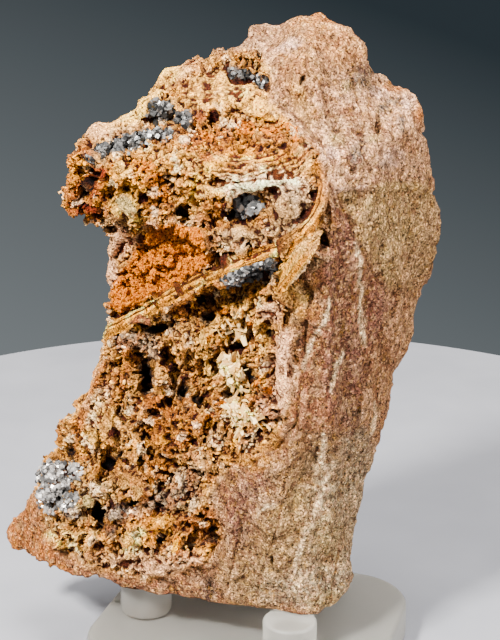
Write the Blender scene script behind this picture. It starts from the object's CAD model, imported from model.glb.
import math

import bmesh
import bpy
import numpy as np
from mathutils import Matrix, Vector
from mathutils.bvhtree import BVHTree


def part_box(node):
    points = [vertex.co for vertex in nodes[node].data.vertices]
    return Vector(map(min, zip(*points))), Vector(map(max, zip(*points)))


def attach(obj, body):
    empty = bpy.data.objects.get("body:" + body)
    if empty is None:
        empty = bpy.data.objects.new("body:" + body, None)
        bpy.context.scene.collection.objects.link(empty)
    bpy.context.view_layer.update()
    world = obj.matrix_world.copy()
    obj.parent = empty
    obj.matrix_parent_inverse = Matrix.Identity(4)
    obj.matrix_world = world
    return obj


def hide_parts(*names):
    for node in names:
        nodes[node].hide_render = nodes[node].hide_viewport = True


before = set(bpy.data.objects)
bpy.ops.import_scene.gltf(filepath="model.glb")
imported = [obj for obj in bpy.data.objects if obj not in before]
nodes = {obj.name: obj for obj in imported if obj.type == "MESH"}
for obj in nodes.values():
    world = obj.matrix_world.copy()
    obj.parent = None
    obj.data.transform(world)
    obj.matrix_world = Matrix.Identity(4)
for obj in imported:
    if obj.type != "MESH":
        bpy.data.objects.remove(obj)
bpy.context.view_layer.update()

mm = 0.001

# the camera that the features below are placed with

photoCamera = {
    "width": 500,
    "height": 640,
    "lens": 85,
    "sensor": 36,  # on the long side
    "place": (0, -222.3, 129.4),  # mm
    "target": (0, -6.4, 59.3),
}


def makeCamera():
    data = bpy.data.cameras.new("photoCamera")
    data.lens = photoCamera["lens"]
    data.sensor_width = photoCamera["sensor"]
    data.sensor_fit = "AUTO"
    data.clip_start = 0.01
    camera = bpy.data.objects.new("photoCamera", data)
    bpy.context.scene.collection.objects.link(camera)
    place = Vector(photoCamera["place"]) * mm
    look = Vector(photoCamera["target"]) * mm - place
    camera.location = place
    camera.rotation_euler = look.to_track_quat("-Z", "Y").to_euler()
    bpy.context.scene.camera = camera


def cameraAxes():
    place = Vector(photoCamera["place"]) * mm
    look = (Vector(photoCamera["target"]) * mm - place).normalized()
    right = look.cross(Vector((0, 0, 1))).normalized()
    return place, look, right, right.cross(look)


def pixelSize():
    return photoCamera["sensor"] / photoCamera["lens"] / photoCamera["height"]


def toPixels(points):
    place, look, right, up = [np.array(axis) for axis in cameraAxes()]
    away = points - place
    depth = away @ look * pixelSize()
    return photoCamera["width"] / 2 + away @ right / depth, photoCamera["height"] / 2 - away @ up / depth


def onSurface(tree, u, v):
    place, look, right, up = cameraAxes()
    across = (u - photoCamera["width"] / 2) * pixelSize()
    down = (v - photoCamera["height"] / 2) * pixelSize()
    ray = (look + right * across - up * down).normalized()
    return tree.ray_cast(place, ray)[:2]


# noise and shapes used on every piece


def smooth(low, high, value):
    t = np.clip((value - low) / (high - low), 0, 1)
    return t * t * (3 - 2 * t)


def scramble(x, y, z, salt):
    n = (x * 374761393 + y * 668265263 + z * 1440662683 + salt * 974634777) & 0xFFFFFFFF
    n = ((n ^ (n >> 13)) * 1274126177) & 0xFFFFFFFF
    n = ((n ^ (n >> 15)) * 1103515245) & 0xFFFFFFFF
    return (n ^ (n >> 16)) / 4294967296.0


def softNoise(points, size, salt=0):
    # smooth bumps from -1 to 1
    p = points / size
    cell = np.floor(p).astype(np.int64)
    f = p - cell
    f = f * f * f * (f * (f * 6 - 15) + 10)
    total = 0
    for corner in range(8):
        i, j, k = corner & 1, corner >> 1 & 1, corner >> 2 & 1
        weight = (
            (f[:, 0] if i else 1 - f[:, 0])
            * (f[:, 1] if j else 1 - f[:, 1])
            * (f[:, 2] if k else 1 - f[:, 2])
        )
        total = total + weight * scramble(cell[:, 0] + i, cell[:, 1] + j, cell[:, 2] + k, salt)
    return total * 2 - 1


def roughNoise(points, size, salt=0, octaves=3):
    total, height, most = 0, 1.0, 0.0
    for octave in range(octaves):
        total = total + height * softNoise(points, size / 2.1**octave, salt + octave * 17)
        most += height
        height *= 0.55
    return total / most


def grainNoise(points, size, salt=0):
    # gap to the nearest grain and the next one, the nearest one's number, and the way from its middle
    p = points / size
    cell = np.floor(p).astype(np.int64)
    nearest = np.full(len(p), 9.0)
    second = np.full(len(p), 9.0)
    number = np.zeros(len(p))
    way = np.zeros_like(p)
    for i in (-1, 0, 1):
        for j in (-1, 0, 1):
            for k in (-1, 0, 1):
                x, y, z = cell[:, 0] + i, cell[:, 1] + j, cell[:, 2] + k
                spot = np.stack([scramble(x, y, z, salt + s) for s in (1, 2, 3)], axis=1)
                offset = p - np.stack([x, y, z], axis=1) - spot
                gap = np.linalg.norm(offset, axis=1)
                closer = gap < nearest
                second = np.where(closer, nearest, np.minimum(second, gap))
                number = np.where(closer, scramble(x, y, z, salt + 4), number)
                way = np.where(closer[:, None], offset, way)
                nearest = np.where(closer, gap, nearest)
    return nearest, second, number, way


def chips(points, size, salt, steep=0.9):
    # broken faces, each a plane that leans its own way
    number, way = grainNoise(points, size, salt)[2:]
    lean = np.stack([np.cos(number * 61), np.sin(number * 97), np.cos(number * 151)], axis=1)
    return (way * lean).sum(axis=1) * steep + number - 0.5


def ovalShare(u, v, row, soft=0.35):
    # middle, half width, half height and turn, anticlockwise in the picture; no turn is 0
    x, y, wide, high, turn = (*row, 0)[:5]
    a = math.radians(turn)
    du, dv = u - x, v - y
    along = (du * math.cos(a) - dv * math.sin(a)) / wide
    across = (dv * math.cos(a) + du * math.sin(a)) / high
    return 1 - smooth(1 - soft, 1 + soft, np.hypot(along, across))


def lineDistance(u, v, path):
    best = np.full(len(u), 1e9)
    for (x0, y0), (x1, y1) in zip(path[:-1], path[1:]):
        dx, dy = x1 - x0, y1 - y0
        t = np.clip(((u - x0) * dx + (v - y0) * dy) / (dx * dx + dy * dy), 0, 1)
        best = np.minimum(best, np.hypot(u - x0 - t * dx, v - y0 - t * dy))
    return best


def acrossLine(u, v, path):
    # pixels from the path, below 0 on its upper side
    best = np.full(len(u), 1e9)
    signed = best.copy()
    for (x0, y0), (x1, y1) in zip(path[:-1], path[1:]):
        dx, dy = x1 - x0, y1 - y0
        t = np.clip(((u - x0) * dx + (v - y0) * dy) / (dx * dx + dy * dy), 0, 1)
        gap = np.hypot(u - x0 - t * dx, v - y0 - t * dy)
        side = np.sign((v - y0) * dx - (u - x0) * dy)
        signed = np.where(gap < best, gap * side, signed)
        best = np.minimum(best, gap)
    return signed


def insideShare(u, v, outline, soft):
    inside = np.zeros(len(u), bool)
    ring = outline + outline[:1]
    for (x0, y0), (x1, y1) in zip(ring[:-1], ring[1:]):
        crosses = ((y0 > v) != (y1 > v)) & (u < (x1 - x0) * (v - y0) / (y1 - y0 + 1e-9) + x0)
        inside ^= crosses
    gap = lineDistance(u, v, ring)
    return smooth(-soft, soft, np.where(inside, gap, -gap))


# mesh helpers


def addObject(name, mesh):
    item = bpy.data.objects.new(name, mesh)
    bpy.context.scene.collection.objects.link(item)
    return item


def bakeDown(item):
    bpy.context.view_layer.update()
    graph = bpy.context.evaluated_depsgraph_get()
    mesh = bpy.data.meshes.new_from_object(item.evaluated_get(graph))
    item.modifiers.clear()
    old = item.data
    item.data = mesh
    bpy.data.meshes.remove(old)


def meshOf(bm, name):
    mesh = bpy.data.meshes.new(name)
    bm.to_mesh(mesh)
    bm.free()
    return mesh


def vertexPoints(mesh):
    points = np.empty(len(mesh.vertices) * 3)
    mesh.vertices.foreach_get("co", points)
    return points.reshape(-1, 3)


def vertexNormals(mesh):
    out = np.empty(len(mesh.vertices) * 3)
    mesh.vertex_normals.foreach_get("vector", out)
    return out.reshape(-1, 3)


def setPoints(mesh, points):
    mesh.vertices.foreach_set("co", np.ascontiguousarray(points).ravel())
    mesh.update()


def edgePairs(mesh):
    pairs = np.empty(len(mesh.edges) * 2, np.int32)
    mesh.edges.foreach_get("vertices", pairs)
    return pairs.reshape(-1, 2)


def spread(values, pairs, rounds, weight=0.5):
    # averages each vertex with its neighbours
    one, two = pairs.T
    count = len(values)
    near = np.bincount(one, minlength=count) + np.bincount(two, minlength=count)
    near = np.maximum(near, 1)
    values = values.copy()
    flat = values.reshape(count, -1)
    for _ in range(rounds):
        for axis in range(flat.shape[1]):
            row = flat[:, axis]
            total = np.bincount(one, row[two], count) + np.bincount(two, row[one], count)
            flat[:, axis] = row + weight * (total / near - row)
    return flat.reshape(values.shape)


def giveNumbers(mesh, name, values):
    layer = mesh.attributes.new(name, "FLOAT", "POINT")
    layer.data.foreach_set("value", np.ascontiguousarray(values, dtype=np.float32))


def giveColours(mesh, name, colours):
    layer = mesh.attributes.new(name, "FLOAT_COLOR", "POINT")
    full = np.ones((len(colours), 4), np.float32)
    full[:, :3] = colours
    layer.data.foreach_set("color", full.ravel())


def fewerTriangles(item, wanted):
    count = sum(len(face.vertices) - 2 for face in item.data.polygons)
    if count > wanted:
        thin = item.modifiers.new("fewer", "DECIMATE")
        thin.ratio = wanted / count
        bakeDown(item)


# what the front shows, placed in the picture's pixels

colours = {  # linear
    "sandTan": (0.29, 0.141, 0.063),
    "sandRed": (0.18, 0.060, 0.023),
    "sandDark": (0.09, 0.033, 0.015),
    "sandPink": (0.55, 0.280, 0.145),
    "sandOlive": (0.29, 0.180, 0.070),
    "sandGrey": (0.24, 0.185, 0.110),
    "mauve": (0.15, 0.058, 0.040),
    "peakTan": (0.37, 0.145, 0.038),
    "tipOrange": (0.30, 0.088, 0.014),
    "tan": (0.37, 0.165, 0.032),
    "ochre": (0.57, 0.215, 0.002),
    "amber": (0.21, 0.062, 0.003),
    "rust": (0.23, 0.060, 0.006),
    "maroon": (0.12, 0.012, 0.002),
    "cream": (0.63, 0.315, 0.052),
    "paleCream": (0.94, 0.570, 0.150),
    "yellow": (0.80, 0.350, 0.002),
    "white": (0.93, 0.620, 0.340),
    "quartz": (0.36, 0.208, 0.084),
    "druse": (0.20, 0.135, 0.088),
    "lead": (0.065, 0.062, 0.064),
    "hollow": (0.010, 0.003, 0.001),
    "orange": (0.36, 0.092, 0.0),
    "lilac": (0.72, 0.430, 0.310),
    "greenGrey": (0.30, 0.205, 0.068),
    "khaki": (0.76, 0.410, 0.062),
    "blueGrey": (0.055, 0.052, 0.048),
}

veinOutline = [
    (196, 52), (262, 50), (272, 80), (268, 100), (285, 112), (302, 130), (318, 150),
    (325, 175), (328, 200), (322, 228), (305, 262), (286, 292), (292, 330), (297, 362),
    (292, 400), (283, 432), (262, 452), (235, 462), (216, 480), (208, 500), (222, 520),
    (222, 545), (205, 562), (180, 574), (150, 580), (110, 574), (80, 562), (46, 538),
    (38, 505), (30, 470), (20, 400), (60, 300), (60, 250), (40, 200), (50, 130), (150, 60),
]
quartzWall = [
    (106, 332), (125, 322), (150, 308), (175, 293), (200, 279), (225, 268), (250, 258),
    (275, 250), (295, 240), (312, 222), (322, 203), (325, 185), (318, 168),
]

# colour, how strong, and ovals in pixels: middle, half width, half height and turn
patches = [
    ("sandPink", 0.9, [(350, 110, 95, 82), (300, 70, 60, 60), (230, 90, 70, 30, 10)]),
    ("sandPink", 0.6, [(380, 150, 40, 30), (410, 120, 22, 34), (318, 196, 16, 30, 10)]),
    ("peakTan", 0.8, [(335, 45, 34, 26, -20), (300, 60, 26, 40), (318, 20, 30, 10)]),
    ("lilac", 0.7, [(290, 45, 13, 7, 25), (378, 92, 10, 6), (330, 152, 10, 8)]),
    ("lilac", 0.6, [(392, 158, 14, 8), (352, 190, 20, 5, 5), (408, 104, 8, 8)]),
    ("sandTan", 0.8, [(320, 62, 10, 16, 10), (372, 124, 12, 12), (342, 116, 16, 10), (316, 120, 12, 16)]),
    ("sandRed", 0.75, [
        (348, 112, 9, 8), (404, 140, 5, 9), (330, 100, 9, 6), (380, 132, 8, 5), (346, 160, 6, 8),
    ]),
    ("rust", 0.5, [(312, 112, 6, 8), (412, 150, 5, 8), (362, 118, 8, 5), (336, 82, 5, 8, 20)]),
    ("greenGrey", 0.8, [
        (348, 86, 7, 5), (430, 112, 5, 12), (336, 140, 10, 6), (372, 140, 8, 5, 20), (398, 186, 26, 5, 4),
    ]),
    ("blueGrey", 0.9, [
        (361, 77, 11, 14, -30), (384, 107, 9, 6, 30), (396, 99, 9, 4), (357, 154, 9, 14, -15),
        (400, 120, 4, 12),
    ]),
    ("blueGrey", 0.6, [(372, 90, 6, 4), (340, 96, 5, 3, 20), (382, 166, 8, 4)]),
    ("tipOrange", 0.9, [(398, 86, 19, 5, -8), (422, 108, 5, 16, -15), (325, 16, 18, 4, -10)]),
    ("cream", 0.5, [(352, 184, 14, 3, 8), (300, 100, 8, 22, 20)]),
    ("sandOlive", 0.9, [(388, 226, 42, 34, 15), (368, 204, 26, 12), (384, 262, 24, 26, 20)]),
    ("greenGrey", 0.35, [(368, 212, 18, 14), (396, 240, 18, 20)]),
    ("sandRed", 0.9, [
        (346, 228, 10, 34, -20), (330, 330, 26, 66, 8), (356, 320, 34, 70), (372, 300, 10, 30, -15),
    ]),
    ("sandDark", 0.7, [
        (334, 278, 18, 18, 30), (300, 350, 9, 34, 12), (345, 340, 8, 40), (352, 420, 7, 40, 10),
    ]),
    ("mauve", 0.7, [(352, 376, 14, 36, 5), (338, 250, 10, 24, -15), (322, 440, 14, 26, 5)]),
    ("ochre", 0.6, [(302, 300, 15, 22, 25), (254, 461, 18, 10, 5), (275, 440, 12, 10)]),
    ("greenGrey", 0.6, [(304, 296, 8, 12, 25)]),
    ("sandPink", 0.45, [(408, 262, 10, 24, 10), (390, 320, 10, 30, 10), (430, 224, 8, 16)]),
    ("sandRed", 0.6, [(300, 410, 24, 60, 10), (340, 420, 30, 50, 5)]),
    ("mauve", 0.9, [(252, 497, 22, 26, 10), (240, 530, 12, 22)]),
    ("sandOlive", 0.7, [(320, 500, 40, 60, 8), (250, 580, 30, 30), (290, 540, 40, 50)]),
    ("sandGrey", 0.8, [
        (336, 512, 26, 60, 10), (330, 580, 30, 36), (360, 460, 16, 50, 10), (298, 590, 40, 18),
    ]),
    ("greenGrey", 0.5, [(296, 498, 9, 12), (330, 540, 14, 26), (325, 600, 18, 10)]),
    ("sandRed", 0.8, [(120, 588, 90, 18, -14), (190, 595, 40, 14, -5)]),
    ("sandDark", 0.5, [(110, 590, 60, 9, -14), (184, 600, 40, 7, -5)]),
    ("blueGrey", 0.7, [(209, 590, 7, 12)]),
    ("quartz", 0.75, [(318, 262, 13, 6, 32)]),
    ("tipOrange", 0.9, [(24, 530, 26, 36, 30), (40, 552, 20, 12, -30), (55, 565, 22, 7, -25)]),
]
veinPatches = [
    ("tan", 1.0, [(180, 320, 300, 400)]),
    # top ledge
    ("sandPink", 0.5, [(106, 126, 26, 12, 30), (165, 76, 34, 16, 25)]),
    ("khaki", 0.8, [(135, 96, 34, 28, 35), (160, 78, 24, 12, 25)]),
    ("cream", 0.6, [(215, 90, 40, 18, 12), (262, 104, 22, 14), (230, 106, 30, 10)]),
    ("tan", 0.7, [(186, 92, 16, 10), (210, 110, 20, 7), (150, 88, 10, 8)]),
    ("lead", 0.9, [(246, 76, 16, 6, -12), (262, 84, 8, 6, -30), (234, 70, 6, 4)]),
    ("paleCream", 0.6, [(236, 92, 13, 5), (265, 66, 8, 10, 30)]),
    ("quartz", 0.7, [(138, 127, 24, 6, 18), (120, 134, 14, 5, 20)]),
    ("rust", 0.7, [(86, 146, 10, 5, 35), (203, 148, 5, 11, 5), (197, 116, 8, 6), (284, 152, 10, 6)]),
    ("maroon", 0.6, [(198, 116, 6, 5), (186, 146, 11, 7, 20), (306, 152, 8, 12, 30)]),
    # upper lobe
    ("amber", 0.8, [(152, 196, 16, 20), (222, 146, 30, 10, 8)]),
    ("cream", 0.8, [(164, 156, 26, 12), (190, 176, 18, 14), (196, 204, 16, 10)]),
    ("lead", 0.95, [(131, 141, 22, 7, 16), (162, 134, 13, 6, 12), (102, 151, 20, 6, 20)]),
    ("lead", 0.8, [(159, 109, 12, 10), (184, 117, 6, 6)]),
    ("rust", 0.9, [(84, 184, 24, 36, 15), (100, 196, 16, 20)]),
    ("tipOrange", 0.7, [(78, 174, 14, 20, 15), (84, 204, 12, 8), (108, 186, 8, 10)]),
    ("ochre", 0.75, [(132, 178, 26, 24, 20), (262, 152, 34, 10, -8), (238, 148, 16, 8)]),
    ("amber", 0.7, [(214, 132, 18, 12), (284, 142, 16, 8), (216, 150, 14, 6, 10)]),
    ("rust", 0.6, [(196, 138, 12, 10), (226, 136, 8, 6), (250, 142, 8, 4)]),
    ("cream", 0.75, [(172, 155, 18, 13), (122, 171, 8, 9, 30), (150, 148, 10, 5), (140, 220, 7, 5)]),
    ("cream", 0.55, [(250, 168, 44, 8, 3), (203, 192, 20, 8, 20)]),
    ("yellow", 0.55, [(240, 150, 18, 6, -4), (262, 158, 26, 4, -6), (226, 160, 12, 4, 20)]),
    ("white", 0.5, [(276, 172, 22, 4, -10), (240, 174, 16, 3, 6)]),
    ("orange", 0.95, [(144, 165, 10, 5, -25), (157, 178, 6, 5), (163, 192, 6, 8), (130, 200, 4, 5)]),
    ("orange", 0.95, [(244, 128, 9, 7), (205, 137, 5, 6), (274, 130, 9, 4, 5), (296, 133, 4, 9)]),
    ("yellow", 0.6, [
        (270, 120, 16, 5), (78, 166, 9, 9), (208, 168, 10, 8, 40), (196, 186, 6, 14, -25),
        (222, 190, 5, 14, 20),
    ]),
    ("rust", 0.8, [(206, 158, 8, 4), (152, 190, 5, 14), (100, 180, 9, 14, 20), (258, 148, 5, 7)]),
    ("ochre", 0.9, [(77, 170, 9, 12), (106, 184, 9, 11)]),
    ("maroon", 0.95, [(91, 184, 13, 17, -30), (99, 174, 7, 8), (88, 212, 16, 8, -30), (72, 206, 6, 9)]),
    ("tipOrange", 0.6, [(70, 192, 5, 7, 10), (82, 202, 6, 3, -20)]),
    ("khaki", 0.9, [(126, 204, 12, 19, -38), (134, 226, 8, 8)]),
    ("quartz", 0.8, [(98, 161, 9, 6), (186, 222, 18, 9), (112, 226, 10, 9, -40)]),
    ("hollow", 0.9, [(181, 212, 7, 5), (232, 213, 7, 6), (173, 206, 5, 5)]),
    # quartz pocket round the galena knot
    ("white", 0.9, [(252, 184, 31, 8, 4), (285, 182, 24, 9, -8), (236, 192, 12, 6, 20)]),
    ("quartz", 0.9, [(293, 212, 24, 24), (270, 235, 24, 12, 10), (232, 244, 30, 14, 12)]),
    ("druse", 0.5, [(296, 196, 20, 10, -10), (300, 222, 8, 10)]),
    ("amber", 0.75, [(214, 208, 13, 12), (222, 226, 10, 6), (200, 236, 6, 6)]),
    ("hollow", 0.75, [(244, 206, 11, 11)]),
    ("rust", 0.6, [(236, 258, 30, 4, 14), (320, 178, 5, 18, 12), (318, 212, 5, 16, -14)]),
    ("lead", 0.7, [(268, 246, 9, 5, 25)]),
    ("sandPink", 0.85, [(122, 240, 14, 16), (112, 276, 8, 26, 12), (150, 226, 8, 4)]),
    # below the quartz wall
    ("lead", 0.95, [(248, 274, 27, 9, 14), (268, 266, 8, 8)]),
    ("rust", 0.75, [(197, 300, 18, 10, 25), (176, 312, 14, 7, 25)]),
    ("hollow", 0.55, [(205, 306, 9, 9), (150, 330, 20, 5, 8), (212, 318, 5, 5)]),
    ("druse", 0.85, [(136, 341, 20, 10, 5), (120, 338, 8, 7), (150, 352, 12, 8)]),
    ("lead", 0.6, [(132, 366, 4, 8, -15), (176, 374, 6, 18, -22)]),
    ("tan", 0.8, [(196, 360, 20, 40), (225, 330, 18, 14)]),
    ("cream", 0.8, [(228, 330, 18, 16), (250, 308, 22, 8, 8), (204, 340, 8, 20), (262, 336, 12, 16)]),
    ("paleCream", 0.9, [
        (230, 366, 15, 10, -30), (238, 380, 12, 11, -40), (238, 410, 14, 12, -50), (250, 414, 12, 7, -20),
        (236, 430, 5, 12), (214, 372, 6, 6),
    ]),
    ("amber", 0.7, [(222, 346, 12, 6), (212, 398, 10, 6), (252, 398, 14, 5, -10)]),
    ("hollow", 0.8, [
        (236, 346, 8, 6), (251, 374, 6, 9, 30), (206, 318, 7, 9), (270, 332, 3, 6), (228, 392, 8, 3),
        (197, 400, 6, 5),
    ]),
    ("sandPink", 0.85, [(268, 312, 12, 10), (282, 372, 14, 30), (285, 342, 10, 14), (270, 408, 14, 16)]),
    ("quartz", 0.8, [(212, 436, 13, 9), (248, 440, 16, 8, 10), (262, 426, 10, 8)]),
    ("yellow", 0.7, [(262, 424, 8, 4, -25), (207, 338, 4, 5), (235, 442, 3, 5)]),
    ("orange", 1.0, [
        (248, 327, 5, 5), (223, 310, 5, 4), (266, 391, 6, 4, -10), (257, 383, 4, 3), (219, 402, 6, 4),
        (207, 417, 4, 3),
    ]),
    # lower vein
    ("hollow", 1.0, [
        (146, 378, 7, 20, -4), (166, 352, 5, 12, -5), (182, 392, 5, 12, -15), (136, 350, 4, 6),
    ]),
    ("amber", 0.9, [(172, 430, 34, 26), (160, 404, 18, 8), (160, 468, 12, 14), (128, 362, 10, 14)]),
    ("rust", 0.7, [
        (158, 400, 14, 6), (142, 402, 8, 10), (148, 474, 9, 9), (136, 470, 8, 5), (120, 380, 9, 12),
    ]),
    ("tan", 0.8, [(112, 428, 26, 24, 20), (128, 480, 18, 17), (131, 458, 14, 8, 10)]),
    ("cream", 0.55, [(110, 416, 16, 12, 20), (96, 404, 10, 14, -20), (92, 438, 12, 8)]),
    ("white", 0.5, [(104, 396, 8, 14, -25), (92, 420, 6, 8, -20)]),
    ("tipOrange", 0.8, [(84, 412, 4, 26, -22), (98, 376, 4, 22, -18), (76, 430, 5, 8)]),
    ("hollow", 1.0, [
        (109, 463, 10, 6, 30), (121, 455, 6, 5, 30), (146, 437, 5, 5), (71, 451, 5, 8), (131, 504, 7, 5),
        (100, 516, 5, 12, 10), (141, 460, 4, 5), (74, 497, 3, 8),
    ]),
    ("rust", 0.5, [(100, 500, 60, 34), (180, 500, 40, 30)]),
    ("greenGrey", 0.6, [(80, 496, 40, 26), (176, 494, 34, 20)]),
    ("druse", 0.8, [(54, 478, 14, 16), (90, 492, 18, 9, 10), (118, 512, 14, 8, -10)]),
    ("lead", 0.8, [(48, 500, 8, 12), (60, 472, 10, 6), (72, 512, 10, 6), (124, 510, 10, 4, -10)]),
    ("greenGrey", 0.7, [(84, 500, 8, 10), (96, 488, 8, 6), (50, 524, 12, 6)]),
    ("druse", 0.75, [(176, 492, 26, 14), (156, 504, 14, 8), (190, 474, 16, 8)]),
    ("quartz", 0.6, [(196, 462, 16, 14), (150, 562, 38, 14, -5), (110, 558, 26, 10, -10)]),
    ("ochre", 0.9, [(158, 525, 17, 10, 25), (146, 540, 10, 8)]),
    ("yellow", 0.75, [(160, 520, 9, 5, 20), (175, 545, 4, 8, -15)]),
    ("paleCream", 0.8, [(130, 544, 9, 13), (62, 540, 20, 9, -14), (90, 533, 10, 6), (140, 532, 5, 5)]),
    ("yellow", 0.5, [(66, 546, 14, 5, -14), (126, 536, 5, 5)]),
    ("rust", 0.6, [(202, 528, 21, 19), (188, 548, 10, 6)]),
    ("tipOrange", 0.6, [(206, 524, 12, 10), (192, 530, 6, 10), (214, 540, 6, 6)]),
    ("hollow", 0.85, [
        (193, 540, 5, 5), (200, 516, 5, 4), (212, 532, 4, 6), (160, 540, 6, 4, 20), (108, 528, 12, 4, -20),
    ]),
    ("cream", 0.7, [(213, 494, 8, 11), (208, 505, 5, 5)]),
    ("lead", 0.5, [(114, 534, 10, 10)]),
    ("sandPink", 0.6, [(150, 566, 44, 8, -8), (186, 558, 18, 8)]),
]
whiteVeinlets = [
    [(354, 244), (362, 259), (361, 278), (362, 299), (362, 320), (365, 346)],
    [(376, 402), (374, 421), (371, 435)],
    [
        (323, 435), (324, 455), (326, 476), (319, 493), (314, 516), (308, 529), (299, 549), (296, 562),
        (299, 579), (290, 592),
    ],
    [(329, 299), (326, 320), (312, 342), (303, 367)],
    [(258, 512), (275, 503)],
    [(345, 350), (336, 372), (330, 392)],
]
sandShapes = [  # colour, how strong, step down in mm, and the outline
    ("sandOlive", 0.85, 0.5, [
        (338, 193), (352, 189), (385, 192), (420, 188), (442, 194), (446, 240), (434, 262),
        (414, 290), (398, 298), (384, 282), (368, 254), (352, 224)]),
    ("mauve", 0.8, 0.0, [
        (334, 196), (350, 224), (366, 254), (384, 284), (398, 300), (374, 345), (364, 400), (352, 440),
        (332, 425), (322, 380), (324, 330), (330, 290), (322, 270), (334, 246), (330, 214)]),
    ("sandRed", 0.9, 0.0, [
        (322, 268), (330, 300), (316, 350), (306, 420), (288, 440), (296, 380), (304, 320),
    ]),
    ("sandTan", 0.6, 0.0, [
        (398, 300), (420, 290), (404, 340), (388, 400), (372, 440), (366, 400), (376, 345),
    ]),
]
grooves = [  # depth in mm, half width in pixels, and the way
    (0.7, 4, [(338, 194), (350, 222), (364, 250), (376, 274), (388, 292), (398, 296)]),
    (0.5, 4, [(314, 160), (330, 186), (338, 214), (338, 244)]),
    (0.5, 3, [(272, 96), (296, 116), (318, 140), (334, 168)]),
    (0.6, 4, [(300, 268), (312, 296), (306, 330), (303, 372), (297, 420), (280, 446), (244, 470)]),
    (0.5, 3, [(398, 296), (386, 322), (372, 350), (362, 392), (352, 440), (340, 500)]),
    (0.4, 3, [(352, 296), (342, 336), (330, 380), (322, 430), (310, 480)]),
    (0.5, 3, [(340, 56), (352, 76), (358, 100), (366, 122), (362, 150), (370, 172)]),
    (0.4, 3, [(306, 60), (322, 86), (328, 112), (346, 136)]),
    (0.4, 3, [(384, 92), (394, 118), (392, 146), (404, 170)]),
    (0.4, 3, [(410, 96), (416, 124), (430, 146), (436, 170)]),
    (0.5, 3, [(232, 478), (246, 510), (238, 548), (226, 590)]),
    (0.4, 3, [(288, 470), (280, 520), (262, 570), (256, 600)]),
    (0.4, 3, [(352, 500), (340, 548), (330, 600)]),
    (0.5, 3, [(300, 22), (308, 44), (306, 66)]),
    (0.4, 3, [(420, 240), (408, 262), (398, 292)]),
]
blackPits = [  # u, v, half width, half height, turn, depth in mm
    (379, 124, 3, 9, 0, 2.0), (302, 80, 2.6, 6, -35, 1.2), (311, 94, 2.6, 4, 0, 1.0),
    (335, 130, 4, 4, 0, 0.6), (359, 133, 5, 2.4, -25, 0.9), (353, 171, 2.5, 3, 0, 0.8),
    (341, 175, 2, 2, 0, 0.5), (260, 56, 2.5, 2.5, 0, 0.8), (321, 244, 6, 14, 4, 2.0),
    (146, 378, 6, 19, -4, 2.2), (166, 352, 4.5, 11, -5, 1.8), (182, 392, 4.5, 11, -15, 1.8),
    (109, 463, 9, 5.5, 30, 2.0), (121, 455, 6, 4, 30, 1.6), (146, 437, 4.5, 4.5, 0, 1.4),
    (71, 451, 4.5, 8, 0, 1.6), (131, 504, 6, 5, 0, 1.5), (100, 516, 4.5, 12, 10, 1.8),
    (141, 460, 3.5, 4.5, 0, 1.3), (193, 540, 5, 4.5, 0, 1.3), (200, 516, 4.5, 4, 0, 1.2),
    (212, 532, 4, 6, 0, 1.2), (160, 540, 6, 4, 20, 1.0), (236, 346, 7, 5, 0, 1.2),
    (251, 374, 5, 9, 30, 1.4), (206, 318, 6, 8, 0, 1.3), (150, 330, 20, 4, 8, 1.4),
    (181, 212, 7, 5, 0, 1.6), (90, 184, 7, 12, -30, 1.8), (232, 213, 6, 6, 0, 1.0),
    (197, 400, 6, 5, 0, 1.2), (270, 332, 3, 6, 0, 0.8), (228, 392, 8, 3, 0, 0.8),
    (204, 300, 8, 6, 20, 1.0), (272, 560, 2, 5, 0, 0.4), (210, 590, 3, 9, 0, 0.5),
    (244, 208, 13, 13, 0, 1.0), (186, 548, 5, 3, 0, 0.8), (74, 497, 3, 8, 0, 1.0),
]


# the rock and the vein on it

rockLook = {
    "voxel": 0.36,  # sizes and heights in mm
    "triangles": 190000,
    "softenRounds": 5,
    "ledgeHeight": 0.42,
    "ledgeSize": 6.0,
    "facetSize": 9,
    "chipHeight": 0.24,
    "chipSizes": (2.6, 1.2),
    "chipBend": 0.5,
    "ribHeight": 0.20,
    "ribSize": 1.9,
    "creaseSize": 2.8,
    "grainHeight": 0.15,
    "grainSize": 0.9,
    "lean": 0.14,  # how far the ribs lean over, as x for each z
    "sunk": 0.9,  # how deep the sandstone lies under the vein
    "stretch": 0.45,  # ribs are this much longer upwards
    "flatTo": (12.9, 14.2),  # the relief fades in between these heights
}
veinLook = {
    "voxel": 0.21,
    "triangles": 190000,
    "softenRounds": 14,
    "lumpHeight": 0.85,
    "lumpSize": 4.2,
    "edgeSize": 2.4,
    "plateHeight": 0.75,
    "plateSize": 2.6,
    "crumbHeight": 0.44,
    "crumbSize": 1.25,
    "grainHeight": 0.24,
    "grainSize": 0.6,
    "vugDepth": 1.7,
    "vugSize": 2.9,
    "fanHeight": 0.4,
    "crustHeight": 1.0,  # of the kasolite
    "crustLumps": (1.7, 0.8),
    "crustGaps": 2.4,
    "laminaHeight": 0.30,
    "edgeShare": 0.04,  # of the vein, where its sheet ends
    "backDepth": 3.0,  # mm from the sheet's edge into the rock
}
fan = {"middle": (240, 116), "squash": 1.35, "oval": (252, 160, 56, 22, 4)}
crumbly = {"size": 3.4, "salt": 19}
wander = {"pixels": 5, "size": 2.4, "wall": 0.3, "sharp": 0.25}  # size in mm
wallEdge = (6.5, 8.5)  # pixels from the wall's middle line
frontDepth = (9, 14)  # mm, where the front ends
hollowRanges = [(5, 0.06, 0.6), (40, 0.3, 0.45)]  # rounds of smoothing, mm that count as deep, strength
flakeOutline = [
    (276, 291), (280, 262), (296, 246), (321, 229), (319, 246), (310, 264), (298, 280), (284, 294),
]
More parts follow.
